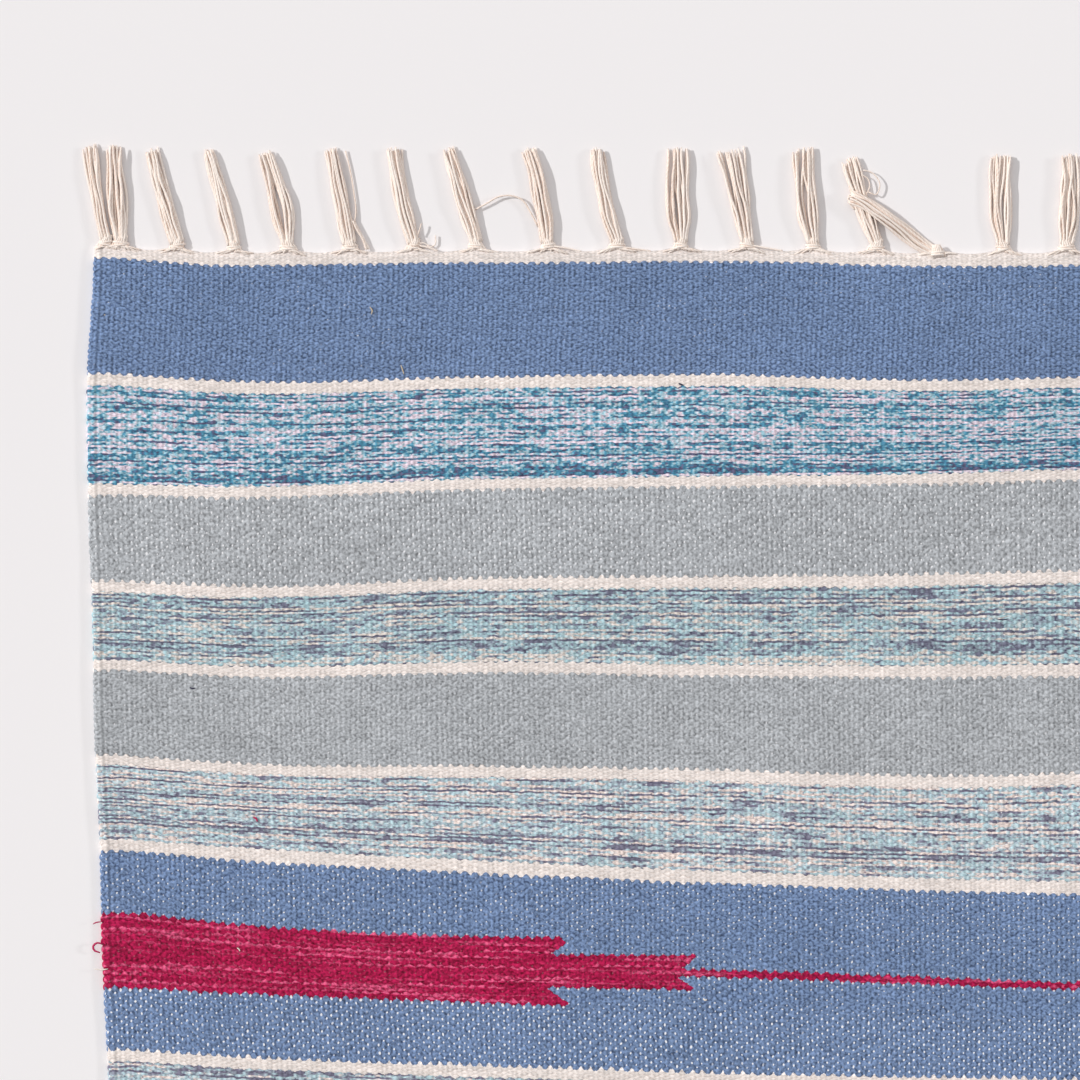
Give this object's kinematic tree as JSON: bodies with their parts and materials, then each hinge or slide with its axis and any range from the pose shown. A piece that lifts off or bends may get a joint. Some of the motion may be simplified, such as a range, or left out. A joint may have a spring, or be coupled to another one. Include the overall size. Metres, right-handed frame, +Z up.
{
  "type": "kilim",
  "caption": "Flat-woven striped cotton kilim lying flat, with a forked crimson bar in a blue band near each end and a knotted fringe at both ends.",
  "frame": {"origin": "middle of the bounding box, on the surface that the kilim lies on", "axes": "+X across the width, +Y along the length to the end with the crossed tassels, +Z up from the floor"},
  "size_m": [1.4162, 2.1674, 0.005],
  "materials": {
    "cloth": "weft-faced plain weave in stripes of blue, grey-green, cream and mixed turquoise, with a crimson bar",
    "warp_cotton": "undyed plied cotton yarn, knotted and hanging loose"
  },
  "bodies": {
    "root": {"cloth": "cloth", "fringe_top": "warp_cotton", "fringe_bottom": "warp_cotton"}
  },
  "joints": []
}
